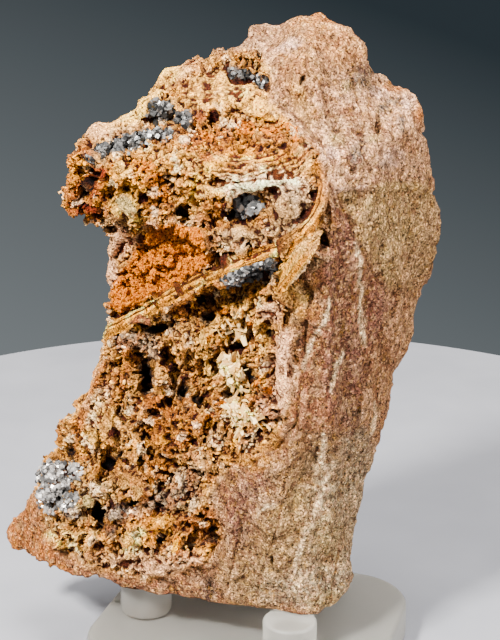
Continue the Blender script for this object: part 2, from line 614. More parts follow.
calmOvals = [
    (126, 206, 13, 20, -38), (250, 164, 60, 16, 3), (252, 185, 34, 8, 4), (285, 184, 26, 9, -4),
    (222, 88, 40, 22, 12), (268, 108, 26, 16), (150, 566, 46, 9, -8), (284, 372, 12, 52),
    (268, 312, 12, 12), (203, 192, 14, 7, 20), (300, 160, 16, 20, 30), (122, 171, 9, 9, 30),
    (130, 480, 16, 14), (110, 425, 12, 20, 20), (116, 250, 10, 22), (290, 208, 24, 26),
    (130, 100, 32, 26, 35), (104, 128, 26, 12, 30), (165, 76, 34, 14, 25), (112, 280, 8, 30, 12),
    (90, 380, 8, 40, -16), (60, 560, 60, 10, -14), (240, 232, 24, 12),
]
kasoliteOutline = [
    (108, 308), (112, 290), (121, 276), (131, 260), (141, 240), (150, 229), (164, 227), (182, 224),
    (201, 229), (205, 246), (211, 262), (196, 274), (170, 289), (143, 300), (124, 312),
]


def cadCopy(name):
    bm = bmesh.new()
    bm.from_mesh(nodes[name].data)
    bmesh.ops.remove_doubles(bm, verts=bm.verts, dist=0.00001)
    return bm


def crustPlug(name, sink=1.3, swell=0.5):
    # fills most of a crystal mass's socket, a little below the rock's face
    bm = cadCopy(name)
    hull = bmesh.ops.convex_hull(bm, input=bm.verts)
    keep = {g for g in hull["geom"] if isinstance(g, bmesh.types.BMFace)}
    bmesh.ops.delete(bm, geom=[f for f in bm.faces if f not in keep], context="FACES")
    loose = [v for v in bm.verts if not v.link_faces]
    bmesh.ops.delete(bm, geom=loose, context="VERTS")
    bmesh.ops.recalc_face_normals(bm, faces=bm.faces)
    bm.normal_update()
    for vertex, out in [(v, v.normal.copy()) for v in bm.verts]:
        vertex.co += out * swell * mm + Vector((0, sink * mm, 0))
    return bm


def stoneSkin(name, look):
    whole = cadCopy("stone")
    for node in nodes:
        if node.startswith(("kasolite", "galena", "cerussite")):
            part = meshOf(crustPlug(node), "plug")
            whole.from_mesh(part)
            bpy.data.meshes.remove(part)
    item = addObject(name, meshOf(whole, name))
    skin = item.modifiers.new("skin", "REMESH")
    skin.mode = "VOXEL"
    skin.voxel_size = look["voxel"] * mm
    bakeDown(item)
    mesh = item.data
    setPoints(mesh, spread(vertexPoints(mesh), edgePairs(mesh), look["softenRounds"]))
    return item


sandStains = [  # colour, size in mm, number and range of the noise, strength, along the ribs
    ("sandOlive", 11, 109, 0.05, 0.45, 0.7, False),
    ("sandDark", 2.2, 113, 0.1, 0.5, 0.7, True),
    ("sandPink", 1.8, 117, 0.15, 0.5, 0.4, True),
]
otherGrains = [  # colour, the part of the grains from and to, how soft, strength
    ("rust", 0.78, 1.1, 0.02, 0.6),
    ("white", -0.1, 0.12, 0.02, 0.5),
    ("ochre", 0.30, 0.44, 0.02, 0.45),
    ("amber", 0.55, 0.68, 0.03, 0.6),
]


def frontShare(points):
    # 1 on the side that the photo shows
    return 1 - smooth(*frontDepth, points[:, 1] / mm)


def regionsOf(points):
    # edges of the regions wander by a few pixels, those of the sharp ones less
    plainU, plainV = toPixels(points)
    pixels, size = wander["pixels"], wander["size"] * mm
    u = plainU + pixels * roughNoise(points, size, 31)
    v = plainV + pixels * roughNoise(points, size, 57)
    front = frontShare(points)
    less = wander["wall"]
    wall = acrossLine(plainU + less * (u - plainU), plainV + less * (v - plainV), quartzWall)
    kasolite = insideShare((plainU + u) / 2, (plainV + v) / 2, kasoliteOutline, 2)
    calm = np.zeros(len(points))
    for row in calmOvals:
        calm = np.maximum(calm, ovalShare(u, v, row, 0.4))
    return {
        "u": u,
        "v": v,
        "sharpU": plainU + wander["sharp"] * (u - plainU),
        "sharpV": plainV + wander["sharp"] * (v - plainV),
        "front": front,
        "calm": calm * front,
        "vein": insideShare(u, v, veinOutline, 5) * front,
        "wall": wall,
        "onWall": (1 - smooth(*wallEdge, np.abs(wall))) * front,
        "flake": insideShare(plainU, plainV, flakeOutline, 1.5) * front,
        "kasolite": kasolite * front * (np.abs(wall) > 6) * (wall < 0),
    }


def alongRibs(points, stretch):
    along = points.copy()
    along[:, 0] -= rockLook["lean"] * points[:, 2]
    along[:, 2] *= stretch
    return along


def sandRelief(points):
    look = rockLook
    along = alongRibs(points, look["stretch"])
    ledge = roughNoise(along, look["ledgeSize"] * mm, 53, 3)
    facet = roughNoise(points, look["facetSize"] * mm, 55, 1)
    bent = points + look["chipBend"] * mm * roughNoise(points, 1.5 * mm, 59, 2)[:, None]
    large, small = [size * mm for size in look["chipSizes"]]
    crease = np.abs(roughNoise(along, look["creaseSize"] * mm, 44))
    rib = roughNoise(along, look["ribSize"] * mm, 41) - crease
    height = look["ledgeHeight"] * (ledge + np.abs(facet))
    height = height + look["chipHeight"] * (chips(bent, large, 49) + 0.5 * chips(bent, small, 51))
    height = height + look["ribHeight"] * rib
    return height + look["grainHeight"] * roughNoise(points, look["grainSize"] * mm, 47, 2)


def lumps(points, size, salt, edge=0.35):
    near, second, number = grainNoise(points, size * mm, salt)[:3]
    return (number - 0.4) * smooth(0.0, edge, second - near), near


def fanBands(where):
    # rings round a point above, as the bands curve
    reach = np.hypot((where["u"] - fan["middle"][0]) / fan["squash"], where["v"] - fan["middle"][1])
    return roughNoise(np.stack([reach * 0.30, where["u"] * 0.012, 0 * reach], axis=1), 1.0, 77, 2)


def crumblyShare(points):
    # where the vein is loose crumbs and where it is whole
    return smooth(-0.25, 0.25, roughNoise(points, crumbly["size"] * mm, crumbly["salt"], 2))


def veinRelief(points, where):
    look = veinLook
    big = roughNoise(points, look["lumpSize"] * mm, 3, 2)
    edge = 0.5 - np.abs(roughNoise(points, look["edgeSize"] * mm, 5, 4)) * 2.2
    bent = points + 0.25 * mm * roughNoise(points, 0.9 * mm, 9, 2)[:, None]
    crumb = chips(bent, look["crumbSize"] * mm, 8)
    grain = chips(bent, look["grainSize"] * mm, 13)
    plate = chips(points * (1, 1, 0.7), look["plateSize"] * mm, 15, 0.7)
    rough = 1 - 0.9 * where["calm"]
    loose = crumblyShare(points) * rough
    vug = smooth(0.12, 0.32, roughNoise(points, look["vugSize"] * mm, 23, 4) + 0.12 * big) * rough
    height = look["lumpHeight"] * (big + edge * rough)
    height = height + look["plateHeight"] * plate * rough
    height = height + look["crumbHeight"] * crumb * (0.4 + 0.9 * loose) * rough
    height = height + look["grainHeight"] * grain * (0.25 + 0.75 * rough)
    height = height - look["vugDepth"] * vug
    inFan = ovalShare(where["u"], where["v"], fan["oval"], 0.4)
    height = height + look["fanHeight"] * fanBands(where) * inFan
    # the kasolite grows in round lumps with gaps between
    large, little = look["crustLumps"]
    lump, near = lumps(points, large, 61, 0.25)
    small = 0.5 - lumps(points, little, 67)[1]
    gap = smooth(0.08, 0.3, roughNoise(points, look["crustGaps"] * mm, 63, 3))
    crust = look["crustHeight"] * (0.9 - 1.5 * near**2 + 0.7 * small + lump - 2.8 * gap)
    height = height + (crust - height) * where["kasolite"]
    # the wall and the flake are split into thin sheets
    sheet = np.stack([where["wall"] * 0.42, where["u"] * 0.02, where["v"] * 0.02], axis=1)
    lamina = look["laminaHeight"] * roughNoise(sheet, 1.0, 71, 2)
    height = height + (lamina - height) * where["onWall"] * 0.9
    return height * (1 - 0.9 * where["flake"])


def reliefOf(points, where):
    vein = where["vein"]
    height = vein * veinRelief(points, where) + (1 - vein) * sandRelief(points)
    u, v, front = where["sharpU"], where["sharpV"], where["front"]
    for name, strength, step, outline in sandShapes:
        height = height - step * insideShare(u, v, outline, 2) * front * (1 - vein)
    for depth, wide, path in grooves:
        height = height - depth * (1 - smooth(0, wide, lineDistance(u, v, path))) * front * (1 - vein)
    for row in blackPits:
        height = height - row[5] * ovalShare(u, v, row[:5], 0.35) * front
    return height


def raiseRelief(item, sink):
    mesh = item.data
    points, out = vertexPoints(mesh), vertexNormals(mesh)
    where = regionsOf(points)
    height = reliefOf(points, where) - sink(where["vein"])
    risen = smooth(*rockLook["flatTo"], points[:, 2] / mm)  # the underside stays flat
    setPoints(mesh, points + out * (height * risen * mm)[:, None])


def hollowness(points, out, pairs):
    # above 0 in hollows, below 0 on ridges
    total = 0
    for rounds, deep, strength in hollowRanges:
        rise = ((spread(points, pairs, rounds) - points) * out).sum(axis=1) / mm
        total = total + np.clip(rise / deep, -1, 1) * strength
    return total


def paintOver(rock, name, share):
    share = np.clip(share, 0, 1)[:, None]
    return rock * (1 - share) + np.array(colours[name]) * share


def sandColour(points, where):
    u, v, front = where["u"], where["v"], where["front"]
    rock = np.tile(colours["sandTan"], (len(points), 1))
    along = alongRibs(points, 0.22)
    broad = roughNoise(points, 14 * mm, 101) + 0.6 * roughNoise(along, 4 * mm, 105)
    rock = paintOver(rock, "sandRed", smooth(-0.2, 0.35, broad) * 0.8)
    for name, size, salt, low, high, strength, ribbed in sandStains:
        noise = roughNoise(along if ribbed else points, size * mm, salt)
        rock = paintOver(rock, name, smooth(low, high, noise) * strength)
    unseen = smooth(0.0, 0.5, roughNoise(points, 9 * mm, 121))
    rock = paintOver(rock, "sandGrey", (1 - front) * unseen * 0.5)
    for name, strength, rows in patches:
        for row in rows:
            rock = paintOver(rock, name, ovalShare(u, v, row, 0.5) * front * strength)
    for name, strength, step, outline in sandShapes:
        edge = 0.3 + 0.7 * smooth(-0.5, 0.5, roughNoise(along, 3.5 * mm, 119))
        inside = insideShare(where["sharpU"], where["sharpV"], outline, 4)
        rock = paintOver(rock, name, inside * front * strength * edge)
    fleck = roughNoise(points, 1.3 * mm, 125)
    rock = paintOver(rock, "sandDark", smooth(0.2, 0.5, fleck) * 0.45)
    rock = paintOver(rock, "sandPink", smooth(0.25, 0.5, -fleck) * 0.35)
    for depth, wide, path in grooves:
        gap = lineDistance(where["sharpU"], where["sharpV"], path) + 1.5 * np.abs(fleck)
        rock = paintOver(rock, "sandDark", (1 - smooth(0, wide, gap)) * front * 0.4)
    for path in whiteVeinlets:
        gap = lineDistance(u, v, path) + 1.2 * np.abs(softNoise(points, 1.5 * mm, 131))
        rock = paintOver(rock, "white", (1 - smooth(0.8, 3.2, gap)) * front * 0.9)
    return rock


def veinColour(points, where):
    u, v = where["u"], where["v"]
    rock = np.tile(colours["tan"], (len(points), 1))
    stain = roughNoise(points, 2.4 * mm, 151, 3)
    rock = paintOver(rock, "cream", smooth(0.1, 0.5, roughNoise(points, 2.6 * mm, 145)) * 0.4)
    rock = paintOver(rock, "quartz", smooth(0.15, 0.5, roughNoise(points, 3.6 * mm, 149)) * 0.7)
    rock = paintOver(rock, "amber", smooth(0.0, 0.3, stain) * 0.8)
    rock = paintOver(rock, "rust", smooth(0.18, 0.45, stain) * 0.8)
    for name, strength, rows in veinPatches:
        for row in rows:
            rock = paintOver(rock, name, ovalShare(u, v, row, 0.45) * strength)
    # every few grains another mineral
    number = grainNoise(points, 1.4 * mm, 8)[2]
    rough = 1 - 0.7 * where["calm"]
    for name, low, high, soft, strength in otherGrains:
        share = smooth(low, low + soft, number) * smooth(high, high - soft, number)
        rock = paintOver(rock, name, share * strength * rough)
    rock = paintOver(rock, "amber", smooth(0.15, 0.5, stain) * 0.45)
    rock = paintOver(rock, "orange", where["kasolite"] * 0.95)
    # bands that curve under the upper ledge
    inFan = ovalShare(u, v, fan["oval"], 0.4) * where["front"]
    band = fanBands(where)
    rock = paintOver(rock, "rust", inFan * smooth(0.1, 0.4, band) * 0.55)
    rock = paintOver(rock, "paleCream", inFan * smooth(0.1, 0.4, -band) * 0.5)
    wall = where["onWall"]
    rock = paintOver(rock, "ochre", wall * 0.9)
    rock = paintOver(rock, "paleCream", wall * smooth(0.0, 0.4, roughNoise(points, 1.8 * mm, 157)) * 0.8)
    rock = paintOver(rock, "amber", wall * smooth(-5, -8, where["wall"]) * 0.8)
    rock = paintOver(rock, "rust", wall * smooth(300, 322, u) * 0.6)
    rock = paintOver(rock, "rust", wall * smooth(0.15, 0.5, roughNoise(points, 2.2 * mm, 155)) * 0.5)
    rock = paintOver(rock, "ochre", where["flake"])
    return paintOver(rock, "cream", where["flake"] * smooth(-0.1, 0.4, roughNoise(points, 1.4 * mm, 161)))


def colourStone(item):
    mesh = item.data
    points, out, pairs = vertexPoints(mesh), vertexNormals(mesh), edgePairs(mesh)
    where = regionsOf(points)
    vein = where["vein"][:, None]
    rock = sandColour(points, where) * (1 - vein) + veinColour(points, where) * vein
    for row in blackPits:
        pit = ovalShare(where["sharpU"], where["sharpV"], row[:5], 0.45)
        rock = paintOver(rock, "hollow", pit * where["front"] * 0.9)
    dip = hollowness(points, out, pairs)
    deep = smooth(-0.08, 0.5, dip) * (0.40 + 0.60 * where["vein"]) * (1 - 0.2 * where["kasolite"])
    rock = rock * (1 - deep[:, None] * np.array([0.90, 0.965, 0.99]))
    rock = rock * (1 + (0.25 + 0.35 * where["vein"]) * smooth(0.05, 0.6, -dip))[:, None]
    rock = np.clip(rock, 0.002, 0.95)
    giveColours(mesh, "rockColour", rock)
    giveNumbers(mesh, "veinShare", where["vein"])
    giveNumbers(mesh, "wallAcross", where["wall"])
    giveNumbers(mesh, "wallShare", np.maximum(where["onWall"], 0) * where["vein"])
    return {"points": points, "out": out, "where": where, "dip": dip, "colour": rock}


def makeRock(material):
    rock = stoneSkin("rock", rockLook)
    raiseRelief(rock, lambda vein: rockLook["sunk"] * smooth(0.55, 0.95, vein))
    fewerTriangles(rock, rockLook["triangles"])
    colourStone(rock)
    rock.data.shade_smooth()
    rock.data.materials.append(material)
    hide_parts("stone")
    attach(rock, "root")
    print("rock:", len(rock.data.vertices), "vertices")
    return rock


def keepVeinOnly(item):
    # leaves the sheet of the vein, still open behind
    mesh = item.data
    bare = regionsOf(vertexPoints(mesh))["vein"] < veinLook["edgeShare"]
    bm = bmesh.new()
    bm.from_mesh(mesh)
    bm.verts.ensure_lookup_table()
    bmesh.ops.delete(bm, geom=[v for v in bm.verts if bare[v.index]], context="VERTS")
    bmesh.ops.delete(bm, geom=[v for v in bm.verts if not v.link_faces], context="VERTS")
    bm.to_mesh(mesh)
    bm.free()


def closeBehind(item):
    # carries the sheet's edge into the rock and fills it there
    bm = bmesh.new()
    bm.from_mesh(item.data)
    bm.normal_update()
    outward = bm.verts.layers.float_vector.new("outward")
    rim = [e for e in bm.edges if e.is_boundary]
    for vertex in {v for e in rim for v in e.verts}:
        vertex[outward] = vertex.normal
    made = bmesh.ops.extrude_edge_only(bm, edges=rim)["geom"]
    for vertex in [g for g in made if isinstance(g, bmesh.types.BMVert)]:
        vertex.co -= vertex[outward] * veinLook["backDepth"] * mm
    bm.verts.layers.float_vector.remove(outward)
    bmesh.ops.holes_fill(bm, edges=[e for e in bm.edges if e.is_boundary], sides=0)
    bmesh.ops.triangulate(bm, faces=[f for f in bm.faces if len(f.verts) > 3])
    bmesh.ops.recalc_face_normals(bm, faces=bm.faces)
    bm.to_mesh(item.data)
    bm.free()


def makeVein(material):
    sheet = stoneSkin("vein", veinLook)
    keepVeinOnly(sheet)
    raiseRelief(sheet, lambda vein: rockLook["sunk"] * (1 - smooth(0.1, 0.45, vein)))
    fewerTriangles(sheet, veinLook["triangles"])
    closeBehind(sheet)
    facts = colourStone(sheet)
    sheet.data.materials.append(material)
    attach(sheet, "root")
    print("vein:", len(sheet.data.vertices), "vertices")
    return sheet, facts


# materials


def newMaterial(name, roughness, **settings):
    material = bpy.data.materials.new(name)
    material.use_nodes = True
    shader = material.node_tree.nodes["Principled BSDF"]
    shader.inputs["Roughness"].default_value = roughness
    for key, value in settings.items():
        shader.inputs[key.replace("_", " ")].default_value = value
    return material, material.node_tree, shader


def addNode(tree, kind, **settings):
    node = tree.nodes.new(kind)
    for key, value in settings.items():
        if hasattr(node, key):
            setattr(node, key, value)
        else:
            node.inputs[key.replace("_", " ")].default_value = value
    return node


def plug(tree, kind, sources, **settings):
    # a node with its settings, and its inputs joined to the sources
    node = addNode(tree, kind, **settings)
    for socket, source in sources.items():
        tree.links.new(source, node.inputs[socket])
    return node.outputs


def objectPoint(tree, stretch=(1, 1, 1), turn=(0, 0, 0)):
    place = plug(tree, "ShaderNodeTexCoord", {})["Object"]
    return plug(
        tree, "ShaderNodeMapping", {"Vector": place}, vector_type="TEXTURE", Scale=stretch, Rotation=turn,
    )["Vector"]


def noiseOn(tree, point, scale, detail=3.0, roughness=0.6):
    return plug(
        tree, "ShaderNodeTexNoise", {"Vector": point},
        Scale=scale, Detail=detail, Roughness=roughness)["Fac"]


def grainsOn(tree, point, scale):
    return plug(tree, "ShaderNodeTexVoronoi", {"Vector": point}, Scale=scale)["Color"]


def rangeOf(tree, value, low, high, newLow, newHigh):
    return plug(
        tree, "ShaderNodeMapRange", {"Value": value},
        From_Min=low, From_Max=high, To_Min=newLow, To_Max=newHigh)["Result"]


def scaleColour(tree, colour, amount):
    return plug(tree, "ShaderNodeVectorMath", {0: colour, "Scale": amount}, operation="SCALE")["Vector"]


def mixColours(tree, share, one, two):
    node = addNode(tree, "ShaderNodeMix", data_type="RGBA")
    for value, index in ((share, 0), (one, 6), (two, 7)):
        if hasattr(value, "links"):
            tree.links.new(value, node.inputs[index])
        elif index == 0:
            node.inputs[index].default_value = value
        else:
            node.inputs[index].default_value = (*value, 1)
    return node.outputs[2]


def mathOf(tree, operation, one, two):
    node = addNode(tree, "ShaderNodeMath", operation=operation)
    for index, value in enumerate((one, two)):
        if hasattr(value, "links"):
            tree.links.new(value, node.inputs[index])
        else:
            node.inputs[index].default_value = value
    return node.outputs[0]


def bumpFrom(tree, shader, height, distance, strength=1.0):
    bump = plug(tree, "ShaderNodeBump", {"Height": height}, Strength=strength, Distance=distance)
    tree.links.new(bump["Normal"], shader.inputs["Normal"])


def attributeOf(tree, name, output="Fac"):
    return addNode(tree, "ShaderNodeAttribute", attribute_name=name).outputs[output]


def rockMaterial():
    material, tree, shader = newMaterial("brokenRock", 0.85, Specular_IOR_Level=0.10)
    colour = attributeOf(tree, "rockColour", "Color")
    vein = attributeOf(tree, "veinShare")
    across = attributeOf(tree, "wallAcross")
    wall = attributeOf(tree, "wallShare")
    plain = objectPoint(tree)
    streaky = objectPoint(tree, (1, 1, 2.6), (0, math.atan(rockLook["lean"]), 0))
    grain = noiseOn(tree, plain, 3600, 3, 0.85)
    mottle = noiseOn(tree, plain, 1250, 3, 0.7)
    patch = noiseOn(tree, plain, 330, 3, 0.6)
    streak = noiseOn(tree, streaky, 1500, 4, 0.75)
    speck = grainsOn(tree, plain, 4200)
    coarse = grainsOn(tree, plain, 1900)
    bare = mathOf(tree, "SUBTRACT", 1.0, vein)
    # source, range, strength and colour of each stain
    stains = (
        (mottle, 0.52, 0.64, 0.45, (0.44, 0.200, 0.016)),
        (mottle, 0.47, 0.36, 0.50, (0.10, 0.024, 0.010)),
        (patch, 0.52, 0.62, 0.22, (0.52, 0.310, 0.160)),
        (patch, 0.46, 0.38, 0.22, (0.16, 0.060, 0.026)),
        (coarse, 0.72, 0.78, 0.35, (0.60, 0.330, 0.140)),
        (coarse, 0.34, 0.28, 0.50, (0.09, 0.026, 0.010)),
    )
    for source, low, high, strength, tone in stains:
        share = mathOf(tree, "MULTIPLY", rangeOf(tree, source, low, high, 0.0, strength), bare)
        colour = mixColours(tree, share, colour, tone)
    grainTone = rangeOf(tree, grain, 0.38, 0.62, 0.3, 1.9)
    streakTone = rangeOf(tree, streak, 0.36, 0.64, 0.55, 1.5)
    # the vein has few streaks
    calm = mathOf(tree, "MULTIPLY", vein, 0.8)
    streaked = mathOf(tree, "MULTIPLY", streakTone, mathOf(tree, "SUBTRACT", 1.0, calm))
    streakTone = mathOf(tree, "ADD", streaked, calm)
    colour = scaleColour(tree, colour, mathOf(tree, "MULTIPLY", grainTone, streakTone))
    bright = rangeOf(tree, speck, 0.70, 0.84, 1.0, 2.3)
    dark = rangeOf(tree, speck, 0.34, 0.20, 1.0, 0.25)
    colour = scaleColour(tree, colour, mathOf(tree, "MULTIPLY", bright, dark))
    # dark lines between the wall's sheets
    wave = mathOf(tree, "ADD", across, mathOf(tree, "MULTIPLY", noiseOn(tree, plain, 420, 2, 0.5), 3.0))
    sheets = plug(
        tree, "ShaderNodeTexNoise", {"W": wave},
        noise_dimensions="1D", Scale=0.5, Detail=3.0, Roughness=0.75)
    line = rangeOf(tree, sheets["Fac"], 0.53, 0.44, 0.0, 0.95)
    colour = mixColours(tree, mathOf(tree, "MULTIPLY", line, wall), colour, (0.06, 0.016, 0.002))
    tree.links.new(colour, shader.inputs["Base Color"])
    gloss = rangeOf(tree, speck, 0.3, 0.9, 0.95, 0.45)
    tree.links.new(gloss, shader.inputs["Roughness"])
    height = mathOf(tree, "ADD", grain, mathOf(tree, "MULTIPLY", streak, 0.5))
    bumpFrom(tree, shader, height, 0.0008)
    return material


def crumbMaterial(name, lighter, roughness, **settings):
    # crumbs take the colour of the ground that they grow on
    material, tree, shader = newMaterial(name, roughness, **settings)
    ground = attributeOf(tree, "rockColour", "Color")
    tint = attributeOf(tree, "tint")
    colour = mixColours(tree, rangeOf(tree, tint, 0.45, 0.75, 0.0, 0.4), ground, (0.50, 0.200, 0.008))
    colour = mixColours(tree, rangeOf(tree, tint, 0.84, 0.96, 0.0, lighter[3]), colour, lighter[:3])
    colour = mixColours(tree, rangeOf(tree, tint, 0.30, 0.12, 0.0, 0.7), colour, (0.07, 0.021, 0.004))
    fine = noiseOn(tree, objectPoint(tree), 2600, 3, 0.65)
    fineTone = rangeOf(tree, fine, 0.35, 0.65, 0.5, 1.45)
    tone = mathOf(tree, "MULTIPLY", rangeOf(tree, tint, 0, 1, 0.5, 1.3), fineTone)
    colour = scaleColour(tree, colour, tone)
    tree.links.new(colour, shader.inputs["Base Color"])
    bumpFrom(tree, shader, fine, 0.00006, 0.7)
    return material


def crystalMaterial(name, dark, middle, light, roughness, grainScale, **settings):
    # colour follows each crystal's own number, with a finer change inside it
    material, tree, shader = newMaterial(name, roughness, **settings)
    tint = attributeOf(tree, "tint")
    fine = noiseOn(tree, objectPoint(tree), grainScale, 3, 0.65)
    value = mathOf(tree, "ADD", mathOf(tree, "MULTIPLY", tint, 0.75), mathOf(tree, "MULTIPLY", fine, 0.4))
    ramp = addNode(tree, "ShaderNodeValToRGB")
    stops = ramp.color_ramp.elements
    stops[0].position, stops[0].color = 0.2, (*dark, 1)
    stops[1].position, stops[1].color = 0.95, (*light, 1)
    middleStop = stops.new(0.52)
    middleStop.color = (*middle, 1)
    tree.links.new(value, ramp.inputs["Fac"])
    tree.links.new(ramp.outputs["Color"], shader.inputs["Base Color"])
    bumpFrom(tree, shader, fine, 0.00006, 0.7)
    return material


def cloudyColour(tree, shader, scale, detail, roughness, tones):
    cloud = noiseOn(tree, objectPoint(tree), scale, detail, roughness)
    colour = mixColours(tree, rangeOf(tree, cloud, 0.35, 0.65, 0.0, 1.0), *tones)
    tree.links.new(colour, shader.inputs["Base Color"])


def acrylicMaterial():
    material, tree, shader = newMaterial("frostedAcrylic", 0.45, IOR=1.49, Transmission_Weight=0.9)
    cloudyColour(tree, shader, 60, 3, 0.5, standLook["tones"])
    return material


def floorMaterial():
    material, tree, shader = newMaterial("paleTable", 0.55)
    cloudyColour(tree, shader, 14, 4, 0.6, tableLook["tones"])
    return material


# crystals, scattered by Geometry Nodes


def crystalShape(name, kind):
    bm = bmesh.new()
    if kind == "grain":  # rounded crumb, 1 mm across
        bmesh.ops.create_icosphere(bm, subdivisions=1, radius=0.5)
        for index, vertex in enumerate(bm.verts):
            vertex.co *= 0.8 + 0.45 * ((index * 37) % 11) / 11
    elif kind == "shard":  # broken chip
        bmesh.ops.create_icosphere(bm, subdivisions=1, radius=0.5)
        for index, vertex in enumerate(bm.verts):
            vertex.co *= 0.55 + 0.9 * ((index * 29) % 13) / 13
        bmesh.ops.scale(bm, vec=(1.25, 0.8, 0.6), verts=bm.verts)
    elif kind == "cube":
        bmesh.ops.create_cube(bm, size=1)
    elif kind == "prism":  # six-sided point
        bmesh.ops.create_cone(bm, cap_ends=True, segments=6, radius1=0.28, radius2=0.24, depth=0.8)
        bmesh.ops.translate(bm, verts=bm.verts, vec=(0, 0, 0.3))
        tip = [f for f in bm.faces if f.normal.z > 0.9]
        made = bmesh.ops.poke(bm, faces=tip)
        for vertex in made["verts"]:
            vertex.co.z += 0.3
    elif kind == "blade":  # thin flat crystal on edge
        bmesh.ops.create_cone(bm, cap_ends=True, segments=5, radius1=0.32, radius2=0.2, depth=1.0)
        bmesh.ops.scale(bm, vec=(1, 0.28, 1), verts=bm.verts)
        bmesh.ops.translate(bm, verts=bm.verts, vec=(0, 0, 0.3))
    bmesh.ops.scale(bm, vec=(mm, mm, mm), verts=bm.verts)
    bmesh.ops.recalc_face_normals(bm, faces=bm.faces)
    item = addObject(name, meshOf(bm, name))
    item.hide_render = True
    item.hide_viewport = True
    return item


def scatterTree():
    tree = bpy.data.node_groups.new("scatterCrystals", "GeometryNodeTree")
    face = tree.interface
    face.new_socket("Geometry", in_out="OUTPUT", socket_type="NodeSocketGeometry")
    wanted = (
        ("Geometry", "NodeSocketGeometry"), ("Crystal", "NodeSocketObject"),
        ("Spacing", "NodeSocketFloat"), ("Per area", "NodeSocketFloat"),
        ("Smallest", "NodeSocketFloat"), ("Largest", "NodeSocketFloat"),
        ("Lean", "NodeSocketFloat"), ("Seed", "NodeSocketInt"),
        ("Material", "NodeSocketMaterial"),
    )
    for name, kind in wanted:
        face.new_socket(name, in_out="INPUT", socket_type=kind)
    given = plug(tree, "NodeGroupInput", {})
    share = plug(tree, "GeometryNodeInputNamedAttribute", {}, data_type="FLOAT", Name="share")
    spots = plug(tree, "GeometryNodeDistributePointsOnFaces", {
        "Mesh": given["Geometry"], "Distance Min": given["Spacing"], "Density Max": given["Per area"],
        "Density Factor": share["Attribute"], "Seed": given["Seed"],
    }, distribute_method="POISSON")
    crystal = plug(tree, "GeometryNodeObjectInfo", {"Object": given["Crystal"]})
    # each leans its own way, and turns any way about its own height
    back = mathOf(tree, "MULTIPLY", given["Lean"], -1)
    least = plug(tree, "ShaderNodeCombineXYZ", {"X": back, "Y": back}, Z=-math.pi)
    most = plug(tree, "ShaderNodeCombineXYZ", {"X": given["Lean"], "Y": given["Lean"]}, Z=math.pi)
    lean = plug(
        tree, "FunctionNodeRandomValue", {0: least[0], 1: most[0], "Seed": given["Seed"]},
        data_type="FLOAT_VECTOR")
    angle = plug(tree, "FunctionNodeEulerToRotation", {0: lean[0]})
    turned = plug(
        tree, "FunctionNodeRotateRotation", {"Rotation": spots["Rotation"], "Rotate By": angle[0]},
        rotation_space="LOCAL")
    size = plug(tree, "FunctionNodeRandomValue", {
        2: given["Smallest"], 3: given["Largest"], "Seed": given["Seed"],
    }, data_type="FLOAT")
    placed = plug(tree, "GeometryNodeInstanceOnPoints", {
        "Points": spots["Points"], "Instance": crystal["Geometry"],
        "Rotation": turned[0], "Scale": size[1],
    })
    tint = plug(tree, "FunctionNodeRandomValue", {}, data_type="FLOAT")
    store = plug(
        tree, "GeometryNodeStoreNamedAttribute", {"Geometry": placed[0], "Value": tint[1]},
        data_type="FLOAT", domain="INSTANCE", Name="tint")
    real = plug(tree, "GeometryNodeRealizeInstances", {0: store[0]})
    cover = plug(
        tree, "GeometryNodeSetMaterial", {"Geometry": real[0], "Material": given["Material"]})
    plug(tree, "NodeGroupOutput", {"Geometry": cover[0]})
    return tree


def partOfVein(vein, facts, share, name):
    # the vein's faces where share is over nothing, with that share and their colour
    mesh = vein.data
    mesh.calc_loop_triangles()
    corners = np.empty(len(mesh.loop_triangles) * 3, np.int32)
    mesh.loop_triangles.foreach_get("vertices", corners)
    corners = corners.reshape(-1, 3)
    kept = corners[share[corners].max(axis=1) > 0.03]
    used, index = np.unique(kept, return_inverse=True)
    part = bpy.data.meshes.new(name)
    part.from_pydata(facts["points"][used].tolist(), [], index.reshape(-1, 3).tolist())
    giveNumbers(part, "share", share[used])
    giveColours(part, "rockColour", facts["colour"][used])
    return addObject(name, part)


def scatter(name, ground, look, shape, material, tree):
    modifier = ground.modifiers.new("scatter", "NODES")
    modifier.node_group = tree
    given = {
        "Crystal": shape, "Spacing": look["spacing"] * mm, "Per area": look["perArea"] / mm**2,
        "Smallest": look["size"][0], "Largest": look["size"][1],
        "Lean": look["lean"], "Seed": look["seed"], "Material": material,
    }
    for socket in tree.interface.items_tree:
        if socket.in_out == "INPUT" and socket.name in given:
            modifier[socket.identifier] = given[socket.name]
    bakeDown(ground)
    ground.name = name
    ground.data.name = name
    return ground


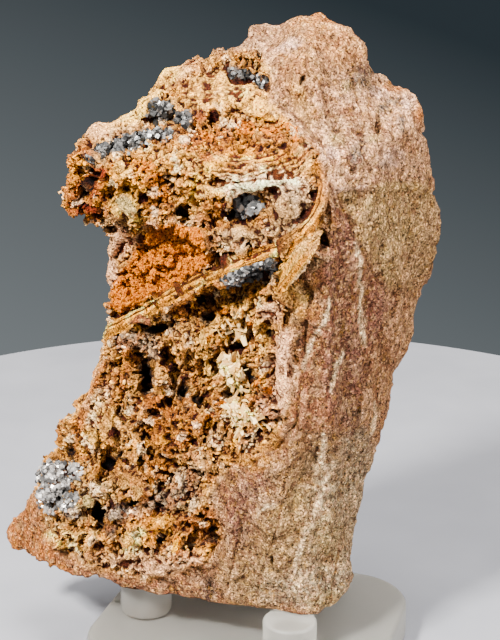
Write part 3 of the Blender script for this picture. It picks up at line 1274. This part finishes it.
habits = {  # what the crystals of one kind share unless a crust says otherwise
    "kasolite": {"shape": "grain", "lean": 2.0},
    "galena": {"shape": "cube", "lean": 1.2},
    "cerussite": {"shape": "blade", "lean": 1.1, "spacing": 0.42, "perArea": 4, "size": (0.7, 1.8)},
}
crusts = {
    # ovals in pixels, the kind, how close (mm, and per square mm), size in mm, and the random order
    "kasoliteCrust": {
        "ovals": [], "shape": "shard", "slot": "kasolite",
        "spacing": 0.17, "perArea": 24, "size": (0.22, 0.62), "seed": 5,
    },
    "kasoliteUpper": {
        "ovals": [
            (245, 128, 10, 7), (272, 130, 10, 4, 4), (288, 126, 7, 4), (206, 137, 5, 6), (297, 132, 4, 9),
        ],
        "slot": "kasolite",
        "spacing": 0.2, "perArea": 9, "size": (0.2, 0.5), "seed": 6,
    },
    "kasoliteLeft": {
        "ovals": [(146, 165, 11, 7, -20), (158, 180, 7, 8), (163, 193, 6, 8)],
        "slot": "kasolite",
        "spacing": 0.2, "perArea": 9, "size": (0.2, 0.5), "seed": 7,
    },
    "kasoliteSpecks": {
        "ovals": [
            (248, 327, 4, 4), (223, 310, 4, 3), (266, 391, 5, 3, -10), (257, 383, 3, 3),
            (219, 402, 5, 3), (207, 417, 3, 3), (176, 545, 4, 7), (207, 338, 3, 3),
        ],
        "slot": "kasolite",
        "spacing": 0.2, "perArea": 14, "size": (0.25, 0.55), "seed": 8,
    },
    "galenaKnot": {
        "ovals": [(247, 206, 11, 12)], "slot": "galena",
        "spacing": 0.24, "perArea": 16, "size": (0.4, 1.15), "seed": 9,
    },
    "galenaBlock": {
        "ovals": [(160, 110, 12, 10), (184, 117, 6, 6)], "slot": "galena",
        "spacing": 0.22, "perArea": 16, "size": (0.3, 0.85), "seed": 10,
    },
    "galenaBand": {
        "ovals": [(131, 141, 22, 6.5, 16), (161, 133, 13, 6, 12), (103, 151, 20, 6, 20)],
        "slot": "galena",
        "spacing": 0.2, "perArea": 18, "size": (0.25, 0.6), "seed": 11,
    },
    "galenaLens": {
        "ovals": [(248, 274, 26, 8, 14), (269, 266, 7, 9)], "slot": "galena",
        "spacing": 0.2, "perArea": 14, "size": (0.25, 0.65), "seed": 12,
    },
    "galenaCorner": {
        "ovals": [(54, 478, 16, 17, 10), (48, 500, 10, 12), (70, 472, 12, 9), (64, 500, 14, 8)],
        "slot": "galena",
        "spacing": 0.2, "perArea": 14, "size": (0.25, 0.65), "seed": 13, "look": "silver",
    },
    "galenaTop": {
        "ovals": [(246, 76, 16, 6, -12), (262, 84, 8, 5, -30)], "slot": "galena",
        "spacing": 0.2, "perArea": 14, "size": (0.25, 0.6), "seed": 14,
    },
    "cerussiteUpper": {
        "ovals": [(229, 364, 15, 10, -30), (239, 380, 12, 11, -40), (229, 330, 14, 9)],
        "slot": "cerussite",
        "seed": 15,
    },
    "cerussiteLower": {
        "ovals": [
            (238, 409, 14, 11, -50), (250, 415, 12, 7, -20), (237, 430, 5, 12), (262, 423, 7, 4, -20),
        ],
        "slot": "cerussite",
        "seed": 16,
    },
}
standsFor = {
    "kasoliteCrust": ["kasolite_crust"], "kasoliteUpper": ["kasolite_patch_upper"],
    "kasoliteLeft": ["kasolite_patch_left"], "galenaKnot": ["galena_knot"],
    "galenaBlock": ["galena_block"], "galenaBand": ["galena_band"], "galenaLens": ["galena_lens"],
    "galenaCorner": ["galena_corner"], "galenaTop": ["galena_top"],
    "cerussiteUpper": ["cerussite_crust_upper"], "cerussiteLower": ["cerussite_crust_lower"],
}

# fine crumbs and crystals over the whole vein
veinCover = {
    "limoniteCrumbs": {
        "of": ["tan", "amber", "rust", "ochre", "tipOrange"], "shape": "shard",
        "spacing": 0.26, "perArea": 3.2, "size": (0.2, 0.75), "lean": 2.0, "seed": 21, "slot": "sandstone",
    },
    "quartzDruse": {
        "of": ["druse", "quartz", "white"], "shape": "prism",
        "spacing": 0.36, "perArea": 2.6, "size": (0.3, 0.75), "lean": 0.9, "seed": 22, "slot": "sandstone",
    },
    "creamBlades": {
        "of": ["cream", "paleCream", "yellow"], "shape": "blade",
        "spacing": 0.4, "perArea": 2.4, "size": (0.35, 1.0), "lean": 1.1, "seed": 23, "slot": "cerussite",
    },
    "leadCrumbs": {
        "of": ["lead"], "shape": "cube",
        "spacing": 0.4, "perArea": 2.5, "size": (0.25, 0.6), "lean": 1.2, "seed": 24, "slot": "galena",
    },
}


crystalLooks = {
    # name, dark, middle and light colour, roughness, scale of the fine change, other settings
    "kasolite": (
        "kasoliteOrange", (0.055, 0.005, 0.0), (0.42, 0.106, 0.0), (0.56, 0.175, 0.0), 0.6, 1500,
        {"Specular_IOR_Level": 0.02}),
    "galena": (
        "galenaGrey", (0.014, 0.014, 0.014), (0.044, 0.043, 0.043), (0.31, 0.295, 0.285), 0.34, 2500,
        {"Metallic": 0.6}),
    "silver": (
        "galenaSilver", (0.036, 0.034, 0.034), (0.17, 0.158, 0.150), (0.74, 0.69, 0.65), 0.28, 2500,
        {"Metallic": 0.5}),
    "cerussite": (
        "cerussiteCream", (0.20, 0.085, 0.016), (0.76, 0.46, 0.14), (0.98, 0.72, 0.34), 0.45, 1800,
        {"Specular_IOR_Level": 0.25}),
}
crumbLooks = {
    # name, colour and strength of the lighter crumbs, roughness, other settings
    "limoniteCrumbs": ("limoniteBrown", (0.88, 0.45, 0.05, 0.4), 0.7, {"Specular_IOR_Level": 0.2}),
    "quartzDruse": ("veinQuartz", (0.92, 0.60, 0.30, 0.8), 0.28, {}),
    "creamBlades": ("creamCrust", (0.95, 0.62, 0.19, 0.8), 0.5, {"Specular_IOR_Level": 0.25}),
    "leadCrumbs": ("leadGrey", (0.32, 0.31, 0.32, 0.5), 0.35, {"Metallic": 0.6}),
}


def makeMaterials():
    made = {}
    for key, look in crystalLooks.items():
        made[key] = crystalMaterial(*look[:-1], **look[-1])
    for key, look in crumbLooks.items():
        made[key] = crumbMaterial(*look[:-1], **look[-1])
    return made


def makeCrusts(vein, facts, tree, materials):
    where = facts["where"]
    u, v = where["u"], where["v"]
    kinds = ("grain", "shard", "cube", "prism", "blade")
    shapes = {kind: crystalShape(kind + "Crystal", kind) for kind in kinds}
    # only faces that look to the front, and few in the gaps
    free = (facts["out"][:, 1] < 0.35) * where["vein"] * (1 - smooth(-0.05, 0.32, facts["dip"]))
    free = free * (1 - where["onWall"]) * (1 - where["flake"])
    taken = np.zeros(len(u))
    for name, own in crusts.items():
        look = {**habits[own["slot"]], **own}
        share = np.zeros(len(u))
        for row in look["ovals"]:
            share = np.maximum(share, ovalShare(u, v, row, 0.25))
        if name == "kasoliteCrust":
            share = where["kasolite"]
        taken = np.maximum(taken, share)
        ground = partOfVein(vein, facts, share * free, name)
        material = materials[look.get("look", look["slot"])]
        piece = scatter(name, ground, look, shapes[look["shape"]], material, tree)
        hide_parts(*standsFor.get(name, []))
        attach(piece, "root")
        print("crust", name, len(piece.data.polygons), "faces")
    loose = crumblyShare(facts["points"])
    for name, look in veinCover.items():
        share = np.zeros(len(u))
        for colourName, strength, rows in veinPatches:
            for row in rows:
                here = ovalShare(u, v, row, 0.45)
                if colourName in look["of"]:
                    share = np.maximum(share, here * strength)
                elif strength > 0.6:
                    share = share * (1 - 0.9 * here)
        share = share * free * (1 - taken) * (0.10 + 0.90 * loose) * (1 - 0.96 * where["calm"])
        ground = partOfVein(vein, facts, share, name)
        piece = scatter(name, ground, look, shapes[look["shape"]], materials[name], tree)
        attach(piece, "root")
        print("cover", name, len(piece.data.polygons), "faces")
    for shape in shapes.values():
        bpy.data.objects.remove(shape)


# thin flakes that stand out of the vein

flakeLook = {"roughness": 0.10, "stand": 1.5, "thick": 0.34}  # mm
flakes = {
    # place in pixels, width and height in mm, turn in the picture, lean back and to the side, colour
    "overHollow": {"at": (131, 458), "size": (3.6, 2.0), "turn": -20, "lean": (35, -15), "colour": "tan"},
    "plateUpper": {"at": (124, 480), "size": (2.6, 3.2), "turn": 15, "lean": (-10, 35), "colour": "tan"},
    "plateLower": {"at": (136, 492), "size": (2.4, 2.8), "turn": -10, "lean": (20, -30), "colour": "tan"},
    "greyPlate": {"at": (117, 514), "size": (3.2, 2.4), "turn": 12, "lean": (-30, 10), "colour": "druse"},
    "ochreFlake": {"at": (158, 522), "size": (4.0, 2.2), "turn": 22, "lean": (-25, -20), "colour": "ochre"},
    "creamPlate": {"at": (130, 541), "size": (2.2, 3.0), "turn": -12, "lean": (15, 25), "colour": "cream"},
    "longChip": {"at": (152, 480), "size": (0.9, 4.2), "turn": 12, "lean": (0, 30), "colour": "amber"},
    "orangeLens": {"at": (176, 545), "size": (1.0, 2.4), "turn": -14, "lean": (0, 30), "colour": "yellow"},
    "stripUpper": {"at": (109, 420), "size": (1.6, 4.6), "turn": -8, "lean": (-10, 30), "colour": "tan"},
    "stripLower": {"at": (96, 436), "size": (1.8, 3.2), "turn": -25, "lean": (-20, 20), "colour": "cream"},
    "greyChip": {"at": (90, 500), "size": (2.2, 2.8), "turn": 20, "lean": (-15, 25), "colour": "greenGrey"},
    "creamLeft": {"at": (120, 168), "size": (2.0, 2.4), "turn": -30, "lean": (-20, 20), "colour": "cream"},
    "wedge": {"at": (126, 206), "size": (2.6, 5.4), "turn": 38, "lean": (-15, 20), "colour": "greenGrey"},
    "druseTop": {"at": (140, 322), "size": (4.2, 1.5), "turn": 4, "lean": (35, 0), "colour": "sandRed"},
    "creamUpper": {"at": (208, 366), "size": (1.2, 3.4), "turn": 8, "lean": (0, 35), "colour": "cream"},
    "creamMiddle": {"at": (204, 338), "size": (1.2, 3.0), "turn": 10, "lean": (10, 30), "colour": "cream"},
}


def flakeMesh(tree, look, number):
    spot, out = onSurface(tree, *look["at"])
    ahead, right, up = cameraAxes()[1:]
    wide, high = look["size"]
    bm = bmesh.new()
    bmesh.ops.create_grid(bm, x_segments=1, y_segments=1, size=0.5)
    bmesh.ops.subdivide_edges(bm, edges=bm.edges, cuts=11, use_grid_fill=True)
    points = np.array([v.co for v in bm.verts]) * 2
    outward = np.maximum(np.abs(points[:, 0]), np.abs(points[:, 1]))
    angle = np.arctan2(points[:, 1], points[:, 0])
    seed = np.stack([np.cos(angle) * 1.3 + number * 7, np.sin(angle) * 1.3, 0 * angle], axis=1)
    reach = 0.78 + 0.30 * roughNoise(seed, 0.7, 211, 3)
    flat = np.stack([np.cos(angle) * wide, np.sin(angle) * high], axis=1) / 2
    flat = flat * (outward * reach)[:, None]
    bend = 0.18 * wide * (outward**2) * np.cos(angle * 2 + number)
    for vertex, (x, y), z in zip(bm.verts, flat, bend):
        vertex.co = (x, y, z)
    bmesh.ops.solidify(bm, geom=bm.faces, thickness=flakeLook["thick"])
    bmesh.ops.recalc_face_normals(bm, faces=bm.faces)
    mesh = meshOf(bm, "flake")
    points = vertexPoints(mesh)
    rough = flakeLook["roughness"] * roughNoise(points + number * 9, 0.5, 215, 3)
    points = points + vertexNormals(mesh) * rough[:, None]
    back, side = [math.radians(angle) for angle in look["lean"]]
    turn = (
        Matrix((right, up, -ahead)).transposed()
        @ Matrix.Rotation(math.radians(look["turn"]), 3, "Z")
        @ Matrix.Rotation(back, 3, "X")
        @ Matrix.Rotation(side, 3, "Y")
    )
    points = points @ np.array(turn).T * mm + np.array(spot) - np.array(ahead) * flakeLook["stand"] * mm
    setPoints(mesh, points)
    grain = roughNoise(points, 0.9 * mm, 221, 3)
    colour = np.tile(colours[look["colour"]], (len(points), 1))
    colour = paintOver(colour, "rust", smooth(0.1, 0.5, grain) * 0.5)
    colour = paintOver(colour, "paleCream", smooth(0.1, 0.5, -grain) * 0.35)
    giveColours(mesh, "rockColour", colour)
    giveNumbers(mesh, "veinShare", np.ones(len(points)))
    return mesh


leafLook = {  # the leaf that stands beside the wall's bend
    "left": [(319, 228), (306, 238), (295, 248), (287, 262), (281, 276), (277, 290)],  # pixels
    "right": [(323, 231), (318, 246), (311, 260), (303, 272), (293, 283), (279, 292)],
    "steps": 40,
    "across": 10,
    "liftLeft": 0.6,  # mm in front of what is behind it
    "liftRight": 1.7,
    "thick": 0.45,
    "ribs": 0.12,
    "paleEdge": (0.78, 0.62, 401),  # across the picture, down it, and where it begins
}


def bentFlake(tree):
    look = leafLook
    place, ahead, right, up = cameraAxes()
    left, rightEdge = look["left"], look["right"]
    steps, across = look["steps"], look["across"]
    bm = bmesh.new()
    rows = []
    # the nearest of what lies behind each step, smoothed down the leaf
    foot = []
    for x, y in left:
        behind = [Vector(onSurface(tree, x + n, y)[0]) - place for n in (-3, 3, 9, 15)]
        foot.append(min(spot.dot(ahead) for spot in behind))
    foot = np.interp(np.linspace(0, len(left) - 1, steps + 1), range(len(left)), foot)
    foot = np.convolve(np.pad(foot, 6, "edge"), np.ones(13) / 13, "valid")
    for i in range(steps + 1):
        t = i / steps * (len(left) - 1)
        k = min(int(t), len(left) - 2)
        f = t - k
        a = [left[k][j] * (1 - f) + left[k + 1][j] * f for j in (0, 1)]
        b = [rightEdge[k][j] * (1 - f) + rightEdge[k + 1][j] * f for j in (0, 1)]
        row = []
        for n in range(across + 1):
            w = n / across
            px = [a[j] * (1 - w) + b[j] * w for j in (0, 1)]
            jag = 1.2 * math.sin(i * 1.7) * math.sin(i * 0.61) * w
            bulge = math.sin(w * math.pi / 2) * math.sin(math.pi * (0.12 + 0.80 * i / steps))
            lean = look["liftLeft"] * (1 - w) + look["liftRight"] * bulge
            ray = ahead + right * ((px[0] + jag - photoCamera["width"] / 2) * pixelSize())
            ray = ray - up * ((px[1] - photoCamera["height"] / 2) * pixelSize())
            row.append(bm.verts.new(place + ray * (foot[i] - lean * mm)))
        rows.append(row)
    for upper, lower in zip(rows[:-1], rows[1:]):
        for n in range(across):
            bm.faces.new((upper[n], upper[n + 1], lower[n + 1], lower[n]))
    bmesh.ops.recalc_face_normals(bm, faces=bm.faces)
    bmesh.ops.solidify(bm, geom=bm.faces, thickness=look["thick"] * mm)
    bmesh.ops.recalc_face_normals(bm, faces=bm.faces)
    bmesh.ops.subdivide_edges(bm, edges=bm.edges, cuts=1, use_grid_fill=True)
    mesh = meshOf(bm, "bentFlake")
    points = vertexPoints(mesh)
    u, v = toPixels(points)
    ribs = roughNoise(np.stack([u * 0.55 + v * 0.42, v * 0.05, 0 * u], axis=1), 1.0, 231, 2)
    setPoints(mesh, points + vertexNormals(mesh) * (ribs * look["ribs"] * mm)[:, None])
    overU, overV, begins = look["paleEdge"]
    edge = smooth(0, 5, overU * u + overV * v - begins)
    colour = np.tile(colours["ochre"], (len(points), 1))
    colour = paintOver(colour, "cream", smooth(-0.1, 0.3, ribs) * 0.8)
    colour = paintOver(colour, "rust", smooth(0.1, 0.4, -ribs) * 0.6)
    colour = paintOver(colour, "quartz", smooth(262, 246, v) * 0.5)
    colour = paintOver(colour, "amber", smooth(278, 290, v) * 0.7)
    colour = paintOver(colour, "white", edge * 0.8)
    giveColours(mesh, "rockColour", colour)
    giveNumbers(mesh, "veinShare", np.ones(len(points)))
    return mesh


def makeFlakes(rock, vein, material):
    bm = bmesh.new()
    bm.from_mesh(rock.data)
    bm.from_mesh(vein.data)
    tree = BVHTree.FromBMesh(bm)
    bm.free()
    small = [flakeMesh(tree, look, n) for n, look in enumerate(flakes.values())]
    for name, meshes in (("leaningFlake", [bentFlake(tree)]), ("veinFlakes", small)):
        joined = bmesh.new()
        for mesh in meshes:
            joined.from_mesh(mesh)
            bpy.data.meshes.remove(mesh)
        item = addObject(name, meshOf(joined, name))
        item.data.materials.append(material)
        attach(item, "root")
        print("flakes", name, len(item.data.polygons), "faces")


# the clear stand

standLook = {
    "plate": (48, 40, 6),  # mm
    "corner": 10,
    "turn": -17,
    "plateEdge": 0.7,
    "postEdge": 0.5,
    "cornerSteps": 24,
    "postSides": 96,
    "tones": ((0.80, 0.76, 0.69), (0.86, 0.83, 0.77)),
}


def easeEdges(item, width, segments):
    edge = item.modifiers.new("eased", "BEVEL")
    edge.width = width * mm
    edge.segments = segments
    edge.limit_method = "ANGLE"
    edge.angle_limit = math.radians(50)
    bakeDown(item)
    item.data.shade_smooth()
    item.data.set_sharp_from_angle(angle=math.radians(35))


def makeStand(material):
    wide, deep, thick = [size * mm for size in standLook["plate"]]
    corner, steps = standLook["corner"] * mm, standLook["cornerSteps"]
    bm = bmesh.new()
    ring = []
    for quarter, (sx, sy) in enumerate(((1, 1), (-1, 1), (-1, -1), (1, -1))):
        for step in range(steps + 1):
            angle = math.radians(90 * (quarter + step / steps))
            x = sx * (wide / 2 - corner) + corner * math.cos(angle)
            y = sy * (deep / 2 - corner) + corner * math.sin(angle)
            ring.append(bm.verts.new((x, y, 0)))
    bottom = bm.faces.new(ring)
    made = bmesh.ops.extrude_face_region(bm, geom=[bottom])
    raised = [g for g in made["geom"] if isinstance(g, bmesh.types.BMVert)]
    bmesh.ops.translate(bm, vec=(0, 0, thick), verts=raised)
    bmesh.ops.recalc_face_normals(bm, faces=bm.faces)
    turn = Matrix.Rotation(math.radians(standLook["turn"]), 3, "Z")
    bmesh.ops.rotate(bm, cent=(0, 0, 0), matrix=turn, verts=bm.verts)
    plate = addObject("standPlate", meshOf(bm, "standPlate"))
    easeEdges(plate, standLook["plateEdge"], 4)
    pieces = [(plate, "stand_base")]
    for side in ("left", "right", "back"):
        low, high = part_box("stand_post_" + side)
        middle = [(a + b) / 2 for a, b in zip(low, high)]
        bm = bmesh.new()
        bmesh.ops.create_cone(
            bm, cap_ends=True, segments=standLook["postSides"],
            radius1=(high[0] - low[0]) / 2, radius2=(high[0] - low[0]) / 2, depth=high[2] - low[2])
        bmesh.ops.translate(bm, vec=middle, verts=bm.verts)
        post = addObject("standPost" + side.capitalize(), meshOf(bm, "standPost"))
        easeEdges(post, standLook["postEdge"], 3)
        pieces.append((post, "stand_post_" + side))
    for piece, node in pieces:
        piece.data.materials.append(material)
        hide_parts(node)
        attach(piece, "root")
    print("stand:", len(pieces), "pieces")


# table, lights and backdrop

tableLook = {
    "radius": 122,  # mm
    "middle": (0, 43),
    "thick": 8,
    "gap": 0.05,  # under the plate
    "tones": ((0.210, 0.212, 0.238), (0.270, 0.270, 0.300)),
}
lightsAim = (0, 0, 55)  # mm
backdrop = {
    "low": (0.20, 0.222, 0.232),
    "high": (0.026, 0.036, 0.043),
    "range": (-0.42, -0.08),
    "darkerRight": 0.35,
}
lights = {
    "keyLeft": {"place": (-230, -270, 400), "size": 70, "watts": 14.2, "colour": (1.0, 0.985, 0.93)},
    "topSoft": {"place": (40, 20, 460), "size": 240, "watts": 4.2, "colour": (1.0, 0.99, 0.95)},
    "fillRight": {"place": (330, -240, 220), "size": 160, "watts": 4.6, "colour": (1.0, 0.98, 0.94)},
    "fillFront": {"place": (0, -420, 160), "size": 260, "watts": 0.5, "colour": (1.0, 0.98, 0.94)},
}


def makeTable():
    bm = bmesh.new()
    bmesh.ops.create_cone(
        bm, cap_ends=True, segments=256, radius1=tableLook["radius"] * mm,
        radius2=tableLook["radius"] * mm, depth=tableLook["thick"] * mm)
    x, y = tableLook["middle"]
    down = tableLook["thick"] / 2 + tableLook["gap"]
    bmesh.ops.translate(bm, vec=(x * mm, y * mm, -down * mm), verts=bm.verts)
    table = addObject("table", meshOf(bm, "table"))
    table.data.materials.append(floorMaterial())


def makeLights():
    for name, look in lights.items():
        data = bpy.data.lights.new(name, "AREA")
        data.size = look["size"] * mm
        data.energy = look["watts"]
        data.color = look["colour"]
        lamp = bpy.data.objects.new(name, data)
        bpy.context.scene.collection.objects.link(lamp)
        lamp.location = Vector(look["place"]) * mm
        aim = Vector(lightsAim) * mm - lamp.location
        lamp.rotation_euler = aim.to_track_quat("-Z", "Y").to_euler()


def makeBackdrop():
    # pale low down and dark above
    world = bpy.data.worlds.new("studio")
    world.use_nodes = True
    tree = world.node_tree
    way = plug(tree, "ShaderNodeTexCoord", {})["Generated"]
    split = plug(tree, "ShaderNodeSeparateXYZ", {0: way})
    side = mathOf(tree, "MULTIPLY", split["X"], backdrop["darkerRight"])
    height = mathOf(tree, "ADD", side, split["Z"])
    rise = rangeOf(tree, height, *backdrop["range"], 0.0, 1.0)
    tone = mixColours(tree, rise, backdrop["low"], backdrop["high"])
    tree.links.new(tone, tree.nodes["Background"].inputs["Color"])
    bpy.context.scene.world = world


makeCamera()
materials = makeMaterials()
brokenRock = rockMaterial()
rock = makeRock(brokenRock)
vein, facts = makeVein(brokenRock)
makeCrusts(vein, facts, scatterTree(), materials)
makeFlakes(rock, vein, brokenRock)
makeStand(acrylicMaterial())
makeTable()
makeLights()
makeBackdrop()
print("scene ready")
